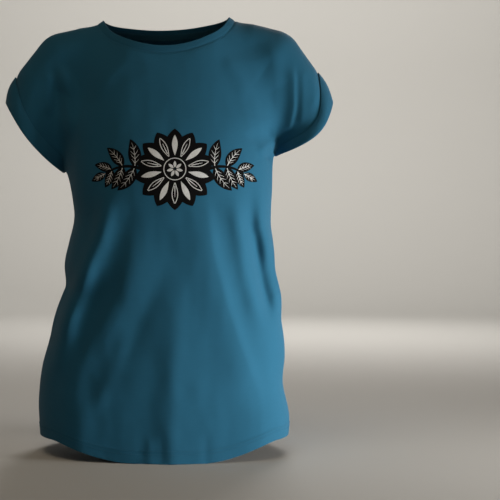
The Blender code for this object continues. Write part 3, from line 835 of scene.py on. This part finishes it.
def makeNeckband(material):
    steps = band["ribs"] * band["stepsPerRib"]
    angle = np.linspace(0, 2 * math.pi, steps, endpoint=False)
    coarse = np.linspace(0, 2 * math.pi, 241)
    seam, rise, away = (pointsAt(angle, coarse, part) for part in neckbandLine(coarse))
    rib = band["ribHeight"] * np.cos(angle * band["ribs"])
    length = lengthsAlong(seam)
    centre = -cloth["thick"] / 2
    section = []
    top = band["width"] - band["half"]
    for up in np.linspace(-band["tuck"], top, 7):
        share = (up + band["tuck"]) / (top + band["tuck"])
        section.append((up, band["half"] * (0.55 + 0.45 * smoothStep(0, 0.35, share))))
    for turn in np.linspace(0, math.pi, 9)[1:-1]:
        section.append((top + band["half"] * math.sin(turn), band["half"] * math.cos(turn)))
    for up in np.linspace(top, -band["tuck"], 7):
        section.append((up, -band["half"]))
    loops = []
    places = []
    for up, out in section:
        side = np.sign(out) if abs(out) > 1e-9 else 0
        shape = out + side * rib * min(1, abs(out) / band["half"])
        loops.append(seam + rise * up + away * (centre + shape)[:, None])
        places.append(np.stack([length, np.full(steps, up), np.zeros(steps)], axis=-1))
    return wear(loopSolid("neckBand", np.array(loops), material, np.array(places)), "rib", "neckband")


# Cuffs: each sleeve's end is turned up outside it, with the free edge standing a little off

cuff = {
    "outer": {"left": 0.0150, "right": 0.0205},
    "outerAtTip": {"left": 0.047, "right": 0.040},
    "outerAtUnderarm": {"left": 0.0120, "right": 0.0185},
    "puff": 0.0028,        # how far the turned-up cloth stands out half way up, at the shoulder
    "standOff": 0.0009,
    "flare": 0.0030,       # the turned edge stands out from the sleeve by this much more
    "thick": 0.0013,
    "foldRound": (0.0022, 0.0030),    # round of the turned edge, and what the shoulder tip adds
    "foldStart": (0.0015, 0.0026),
    "edgeRound": 0.0007,
    "slitEnd": 0.0024,
    "waviness": 0.0006,
    "wavePitch": 2.1,
    "wrinkle": 0.0004,
    "wrinkleScale": 45,
    "tipPowers": (5.5, 2),       # how closely a change keeps to the shoulder's tip
    "underarmPower": 4,
    "steps": 168,
}


def makeCuff(side, material):
    angle = np.linspace(0, 2 * math.pi, cuff["steps"], endpoint=False)
    tipShare, atTip = (((1 + np.cos(angle)) / 2) ** power for power in cuff["tipPowers"])
    underShare = ((1 - np.cos(angle)) / 2) ** cuff["underarmPower"]
    level = np.zeros(cuff["steps"])
    seed = level[:, None] + (4.0 if side == "left" else -4.0)
    wave = noiseAt(np.concatenate([headings(angle) * cuff["wavePitch"], seed], axis=-1))
    width = cuff["outer"][side]
    free = (width + (cuff["outerAtTip"][side] - width) * tipShare
            + (cuff["outerAtUnderarm"][side] - width) * underShare + cuff["waviness"] * wave)
    stand = cuff["standOff"] * (1 - 0.6 * underShare) * (1 + 0.35 * np.roll(wave, 40))
    t = cloth["thick"]
    outside = stand + cuff["thick"]
    flare = cuff["flare"]
    inner = cut["cuffInner"]
    start = cuff["foldStart"][0] + cuff["foldStart"][1] * atTip
    rounding = cuff["foldRound"][0] + cuff["foldRound"][1] * atTip
    along = {k: start + (free - start) * k for k in (0.2, 0.25, 0.4, 0.6, 0.8)}
    lift = {k: cuff["puff"] * atTip * math.sin(math.pi * k) + flare * (1 - k) for k in along}
    section = [(inner * k, flare * (1 - k) ** 2 - t) for k in (1, 0.8, 0.6, 0.4, 0.2)]
    for turn in np.linspace(0, math.pi, 9):
        share = (1 - math.cos(turn)) / 2
        section.append((start - rounding * math.sin(turn), flare - t + (outside + t) * share))
    section += [(along[k], outside + lift[k]) for k in (0.2, 0.4, 0.6, 0.8)]
    section += [(free - cuff["edgeRound"], outside), (free, stand + 0.75 * cuff["thick"]),
                (free, stand + 0.25 * cuff["thick"]), (free - cuff["edgeRound"], stand)]
    section += [(along[k], stand + lift[k]) for k in (0.8, 0.6, 0.4, 0.25)]
    section += [(cuff["slitEnd"] * far, 0.8 * flare + off * stand)
                for far, off in ((1, 0.8), (0.7, 0.5), (1, 0.2))]
    section += [(inner * k, flare * (1 - k) ** 2) for k in (0.25, 0.45, 0.65, 0.85, 1)]
    up = np.array([level + part[0] for part in section])
    out = np.array([level + part[1] for part in section])
    line = openingEdge(side, angle, up)
    bump = noiseAt(line * cuff["wrinkleScale"] + 3.0) * np.where(out > 0.5 * stand, cuff["wrinkle"], 0)
    loops = line + openingNormal(side, angle, up) * (out + bump)[..., None]
    across = np.linalg.norm(np.diff(line, axis=1, prepend=line[:, :1]), axis=-1).cumsum(axis=1)
    places = np.stack([across, up, np.zeros_like(up)], axis=-1)
    return wear(loopSolid(f"{side}Cuff", loops, material, places), "cuff", f"{side}_cuff")


# Neck tape: narrow herringbone tape over the seam inside the back of the neck

tape = {
    "width": 0.009,
    "above": 0.35,
    "thick": 0.0006,
    "clear": 0.0026,
    "steps": 110,
    "rows": 5,
}


def makeTape(material):
    reach = math.pi / 2 * 0.93
    angle = np.linspace(math.pi + reach, math.pi - reach, tape["steps"])
    seam, rise, away = neckbandLine(angle)
    rows = []
    places = []
    length = lengthsAlong(seam)
    for share in np.linspace(0, 1, tape["rows"]):
        up = tape["width"] * (share - 1 + tape["above"])
        line = seam + rise * up
        if up < 0:
            line = ontoForm(line)
        rows.append(line - away * tape["clear"])
        places.append(np.stack([length, np.full(len(angle), up), np.zeros(len(angle))], axis=-1))
    outer = np.array(rows)
    inner = outer - away[None] * tape["thick"]
    return wear(sheetSolid("neckTape", outer, inner, material, np.array(places)), "tape", "neck_tape")


print("pieces: panels, hems, band, cuffs, tape")
clothLook = knitMaterial("petrolJersey")
hemLook = knitMaterial("petrolJerseyHem", 0.98)
cuffLook = knitMaterial("petrolJerseyCuff", 0.97)
ribLook = knitMaterial("petrolRib", 0.92, 0.6)
herringbone = tapeMaterial("petrolTape")
panels = {facing: makePanel(facing, clothLook) for facing in ("front", "back")}
hems = {facing: makeHem(facing, hemLook) for facing in ("front", "back")}
cuffs = {side: makeCuff(side, cuffLook) for side in ("left", "right")}
neckBand = makeNeckband(ribLook)
neckTape = makeTape(herringbone)


# Chest print: a rosette between two leafy sprays, in black ink with white ink over it

chestPrint = {
    "centre": (0.008, 0.404),    # x and z
    "black": 0.00010,            # how far each ink stands above the cloth
    "white": 0.00016,
    "sunk": 0.00025,             # and how far its closed back lies under it
    "petals": 14,
    "petal": (0.008, 0.0560, 0.0130),    # start, end and half width of a black petal
    "petalInset": (0.019, 0.0470, 0.0036),
    "veinWidth": 0.00050,
    "veins": 4,
    "ring": (0.0150, 0.0011),
    "buds": 7,
    "stem": ((0.044, 0.000), (0.062, 0.004), (0.080, 0.002), (0.097, -0.006)),
    "stemWidth": 0.0024,
    "veinTurn": math.radians(40),
    "gloss": 0.08,
    "wear": 420.0,               # scale of the ink's unevenness
    "leaves": (   # place along the stem, turn from its way, length, half width
        (0.20, 66, 0.040, 0.0088), (0.20, -66, 0.040, 0.0088), (0.50, 56, 0.035, 0.0080),
        (0.50, -56, 0.035, 0.0080), (0.78, 42, 0.026, 0.0066), (0.78, -42, 0.026, 0.0066),
        (0.97, 0, 0.022, 0.0058),
    ),
}


def ribbon(path, halfWidths, across=3):   # a flat strip of (rows, across, 2) along a path
    path = np.asarray(path, dtype=float)
    way = unit(np.gradient(path, axis=0))
    side = np.stack([-way[:, 1], way[:, 0]], axis=-1)
    share = np.linspace(-1, 1, across)
    return path[:, None] + side[:, None] * (np.asarray(halfWidths)[:, None] * share)[..., None]


def bentLine(start, angle, length, bend, steps):
    t = np.linspace(0, 1, steps)
    turn = angle + bend * (t - 0.5)
    step = headings(turn) * length / (steps - 1)
    return np.asarray(start) + np.concatenate([[[0, 0]], np.cumsum(step[:-1], axis=0)])


def leafShapes(start, angle, length, halfWidth, bend):   # a black leaf and its white veins
    steps = max(9, int(length / 0.0018))
    line = bentLine(start, angle, length, bend, steps)
    t = np.linspace(0, 1, steps)
    outline = halfWidth * (np.sin(math.pi * t**0.8) ** 0.85) + 0.00012
    black = [ribbon(line, outline, 7)]
    thin = chestPrint["veinWidth"]
    first, last = int(steps * 0.08), int(steps * 0.90)
    middle = line[first:last]
    white = [ribbon(middle, thin * (1 - 0.75 * np.linspace(0, 1, len(middle))))]
    way = unit(np.gradient(line, axis=0))
    veinTurn = chestPrint["veinTurn"]
    for share in np.linspace(0.18, 0.62, chestPrint["veins"]):
        i = int(share * (steps - 1))
        heading = math.atan2(way[i, 1], way[i, 0])
        length = 0.60 * outline[int((share + 0.10) * (steps - 1))] / math.sin(veinTurn)
        for side in (1, -1):
            vein = bentLine(line[i], heading + side * veinTurn, length, -side * 0.35, 7)
            white.append(ribbon(vein, thin * 0.8 * (1 - 0.7 * np.linspace(0, 1, 7))))
    return black, white


def printShapes():
    black, white = [], []
    count = chestPrint["petals"]
    start, end, half = chestPrint["petal"]
    insetStart, insetEnd, insetHalf = chestPrint["petalInset"]
    thin = chestPrint["veinWidth"]
    for i in range(count):
        way = headings(2 * math.pi * (i + 0.5) / count)
        t = np.linspace(0, 1, 25)
        outline = half * np.sin(math.pi * t**1.15) ** 0.8 + 0.00012
        black.append(ribbon(way * (start + (end - start) * t[:, None]), outline, 7))
        t = np.linspace(0, 1, 21)
        inset = insetHalf * np.sin(math.pi * t**1.15) ** 0.9 + 0.00025
        line = way * (insetStart + (insetEnd - insetStart) * t[:, None])
        if i % 2:
            white.append(ribbon(line, inset, 5))
        else:
            edge = ribbon(line, inset, 2)
            white.append(ribbon(edge[:, 0], np.full(21, thin)))
            white.append(ribbon(edge[:, 1], np.full(21, thin)))
            white.append(ribbon(line[3:15], np.linspace(thin * 1.6, thin * 0.5, 12)))
    disc = headings(np.linspace(0, 2 * math.pi, 61))
    black.append(np.stack([disc * r for r in np.linspace(0.0004, 0.0200, 8)], axis=1))
    radius, width = chestPrint["ring"]
    white.append(ribbon(disc * radius, np.full(61, width / 2)))
    for i in range(chestPrint["buds"]):
        way = headings(2 * math.pi * i / chestPrint["buds"] + math.pi / 2)
        t = np.linspace(0, 1, 11)
        outline = 0.0018 * np.sin(math.pi * t) ** 0.8 + 0.0002
        white.append(ribbon(way * (0.0022 + 0.0088 * t[:, None]), outline, 5))
    for mirror in (1, -1):
        stem = smoothPath(chestPrint["stem"], 12)
        lengths = lengthsAlong(stem)
        shares = lengths / lengths[-1]
        way = unit(np.gradient(stem, axis=0))
        shapes = [[ribbon(stem, chestPrint["stemWidth"] * (1 - 0.5 * shares))], []]
        for share, turn, length, halfWidth in chestPrint["leaves"]:
            base, ahead = pointsAt(share, shares, stem), pointsAt(share, shares, way)
            turn = math.radians(turn)
            angle = math.atan2(ahead[1], ahead[0]) + turn
            for kept, made in zip(shapes, leafShapes(base, angle, length, halfWidth, -turn / 2)):
                kept += made
        flip = np.array([mirror, 1])
        black += [shape * flip for shape in shapes[0]]
        white += [shape * flip for shape in shapes[1]]
    return {"black": black, "white": white}


def placesHit(hits):   # places and normals of a surface's hits
    return (np.array([hit[k] for hit in hits]) for k in (0, 1))


def layInk(name, shapes, height, material, surface):
    corners = []
    faces = []
    for number, shape in enumerate(shapes):
        rows, columns = shape.shape[:2]
        flat = shape.reshape(-1, 2) + np.array(chestPrint["centre"])
        hits = [surface.ray_cast(Vector((x, -0.3, z)), Vector((0, 1, 0))) for x, z in flat]
        place, normal = placesHit(hits)
        lift = height + 0.000004 * (number % 7)     # no two strips lie at one level
        first = sum(len(part) for part in corners)
        corners += [place + normal * lift, place - normal * chestPrint["sunk"]]
        made = slabFaces(rows, columns)
        across = np.cross(place[1] - place[0], place[columns] - place[0])
        if across @ normal[0] < 0:
            made = [tuple(reversed(face)) for face in made]
        faces += [tuple(first + i for i in face) for face in made]
    return wear(makeObject(name, np.concatenate(corners), faces, material, 60), "jersey")


def inkMaterial(name, colour, roughness):
    material, shader, wire = newMaterial(name, colour, roughness, 0.0)
    shader.inputs["Specular IOR Level"].default_value = chestPrint["gloss"]
    worn = noiseTone(wire.node("ShaderNodeTexCoord", output=3), chestPrint["wear"], 3.0)
    mixColour(worn * 1.4 - 0.2, shaded(colour, 0.72), shaded(colour)).into(shader, "Base Color")
    addRelief(shader, worn, 0.00008, 0.7)
    return material


def surfaceOf(*pieces):
    points, faces = [], []
    for piece in pieces:
        first = len(points)
        points += [v.co for v in piece.data.vertices]
        faces += [tuple(first + i for i in p.vertices) for p in piece.data.polygons]
    return BVHTree.FromPolygons(points, faces)


print("chest print")
chest = surfaceOf(panels["front"])
inks = {"black": inkMaterial("blackInk", (0.0030, 0.0030, 0.0034), 0.80),
        "white": inkMaterial("whiteInk", (0.68, 0.69, 0.68), 0.72)}
prints = [layInk(f"{colour}Print", shapes, chestPrint[colour], inks[colour], chest)
          for colour, shapes in printShapes().items()]


# Stitching: each stitch is a short raised thread that dips into the cloth at both ends

stitch = {
    "pitch": 0.0030,           # from one needle hole to the next
    "fill": 0.84,              # share of it that the thread spans
    "half": 0.00030,           # half the thread's thickness
    "sides": 6,
    "hemRows": (11, 8),        # rows of the grid under the hem's two lines
    "neckBelow": 0.0035,       # topstitching under the neck seam
    "colour": (0.014, 0.100, 0.170),
}


def sewLine(line, surface, corners, faces):   # a guide line that runs a little off the cloth
    along = lengthsAlong(line)
    count = int(along[-1] / stitch["pitch"])
    pitch = along[-1] / count
    rings = np.linspace(0, 1, 5)
    lift = stitch["half"] * np.array([-0.7, 0.45, 0.6, 0.45, -0.7])
    radius = stitch["half"] * np.array([0.6, 1.0, 1.0, 1.0, 0.6])
    sides = stitch["sides"]
    circle = headings(np.linspace(0, 2 * math.pi, sides, endpoint=False))
    for number in range(count):
        spots = (number + (1 - stitch["fill"]) / 2 + rings * stitch["fill"]) * pitch
        hits = [surface.find_nearest(Vector(point)) for point in pointsAt(spots, along, line)]
        place, normal = placesHit(hits)
        side = unit(np.cross(unit(place[-1] - place[0]), normal))
        middle = place + normal * lift[:, None]
        ring = middle[:, None] + radius[:, None, None] * (circle @ np.stack([side, normal], axis=1))
        first = sum(len(part) for part in corners)
        corners.append(ring.reshape(-1, 3))
        around = list(range(sides))
        end = (len(rings) - 1) * sides
        made = gridFaces(len(rings), sides, closedColumns=True)
        made += [around[::-1], [end + k for k in around]]
        faces += [tuple(first + k for k in face) for face in made]


def makeStitches(name, lines, surface, slotName, material):
    corners, faces = [], []
    for line in lines:
        sewLine(line, surface, corners, faces)
    return wear(solidFrom(name, np.concatenate(corners), faces, material), slotName)


def hemLines(facing):
    return [folded[facing][row] + normals[facing][row] * 0.0010 for row in stitch["hemRows"]]


def neckLine():
    seam, rise, away = neckbandLine(np.linspace(0, 2 * math.pi, 361))
    return ontoForm(seam - rise * stitch["neckBelow"]) + away * 0.0012


def tapeLines():
    points = np.array([v.co for v in neckTape.data.vertices]).reshape(2, tape["rows"], -1, 3)
    off = unit(points[1] - points[0]) * 0.0005
    rows = points[1] + off
    return [(rows[0] + rows[1]) / 2, (rows[3] + rows[4]) / 2]


print("stitches: hems, neck, tape")
thread = threadMaterial("petrolThread", stitch["colour"])
hemStitches = {
    facing: makeStitches(f"{facing}HemStitches", hemLines(facing), surfaceOf(piece), "hem", thread)
    for facing, piece in hems.items()}
neckStitches = makeStitches("neckStitches", [neckLine()], surfaceOf(panels["front"], panels["back"]),
                            "jersey", thread)
tapeStitches = makeStitches("tapeStitches", tapeLines(), surfaceOf(neckTape), "tape", thread)
# Floor, light and camera

studio = {
    "floorRadius": 3.2,
    "sweep": 1.2,
    "wallTop": 3.0,
    "floorColour": (0.50, 0.485, 0.455),
    "cameraPlace": (0.0, -1.7, 0.3047),
    "lens": 83.3,
    "shift": (0.162, -0.016),
    "world": (1.0, 0.90, 0.74),
    "worldStrength": 0.012,
}

lights = {   # spread is how wide an angle a light fills, in degrees
    "key": {"place": (1.52, -0.50, 0.15), "aim": (0.0, 0.0, 0.16), "size": (0.80, 0.24), "power": 5.4,
            "colour": (1.0, 0.99, 0.97), "spread": 62},
    "low": {"place": (0.8, -1.5, 0.12), "aim": (0.15, 0.0, 0.42), "size": (0.6, 0.3), "power": 1.6,
            "colour": (1.0, 0.97, 0.92), "spread": 180},
    "top": {"place": (-0.4, -0.9, 2.2), "aim": (0.0, 0.0, 0.5), "size": (1.4, 1.4), "power": 9.5,
            "colour": (1.0, 0.84, 0.64), "spread": 180},
    "back": {"place": (0.6, 2.3, 1.7), "aim": (0.0, 0.0, 0.35), "size": (1.2, 1.2), "power": 30.0,
             "colour": (1.0, 0.98, 0.96), "spread": 180},
    "wall": {"place": (0.2, 0.8, 3.2), "aim": (0.4, 4.4, 1.3), "size": (2.4, 2.4), "power": 72.0,
             "colour": (1.0, 0.99, 0.97), "spread": 110},
}


def makeStage():
    profile = [(0.0, 0.0), (studio["floorRadius"], 0.0)]
    for turn in np.linspace(0, math.pi / 2, 13)[1:]:
        profile.append((studio["floorRadius"] + studio["sweep"] * math.sin(turn),
                        studio["sweep"] * (1 - math.cos(turn))))
    profile.append((profile[-1][0], studio["wallTop"]))
    sides = 96
    turns = [2 * math.pi * k / sides for k in range(sides)]
    points = [(0, 0, 0)]
    for radius, z in profile[1:]:
        points += [(radius * math.cos(turn), radius * math.sin(turn), z) for turn in turns]
    faces = [(0, 1 + k, 1 + (k + 1) % sides) for k in range(sides)]
    rings = gridFaces(len(profile) - 1, sides, closedColumns=True)
    faces += [tuple(1 + i for i in reversed(face)) for face in rings]
    material = bpy.data.materials.new("paleFloor")
    material.use_nodes = True
    shader = material.node_tree.nodes["Principled BSDF"]
    shader.inputs["Base Color"].default_value = (*studio["floorColour"], 1)
    shader.inputs["Roughness"].default_value = 0.9
    floor = makeObject("studioFloor", points, faces, material, 80)


def makeLights():
    for name, light in lights.items():
        data = bpy.data.lights.new(name, "AREA")
        data.shape = "ELLIPSE"
        data.size, data.size_y = light["size"]
        data.energy = light["power"]
        data.color = light["colour"]
        data.spread = math.radians(light["spread"])
        lamp = bpy.data.objects.new(name, data)
        lamp.location = light["place"]
        way = Vector(light["aim"]) - Vector(light["place"])
        lamp.rotation_euler = way.to_track_quat("-Z", "Y").to_euler()
        scene.collection.objects.link(lamp)
    world = bpy.data.worlds.new("softLight")
    world.use_nodes = True
    sky = world.node_tree.nodes["Background"]
    sky.inputs["Color"].default_value = (*studio["world"], 1)
    sky.inputs["Strength"].default_value = studio["worldStrength"]
    scene.world = world


def makeCamera():
    data = bpy.data.cameras.new("camera")
    data.lens = studio["lens"]
    data.sensor_width = 36
    data.shift_x, data.shift_y = studio["shift"]
    camera = bpy.data.objects.new("camera", data)
    camera.location = studio["cameraPlace"]
    camera.rotation_euler = (math.pi / 2, 0, 0)
    scene.collection.objects.link(camera)
    scene.camera = camera


print("studio: floor, lights, camera")
makeStage()
makeLights()
makeCamera()
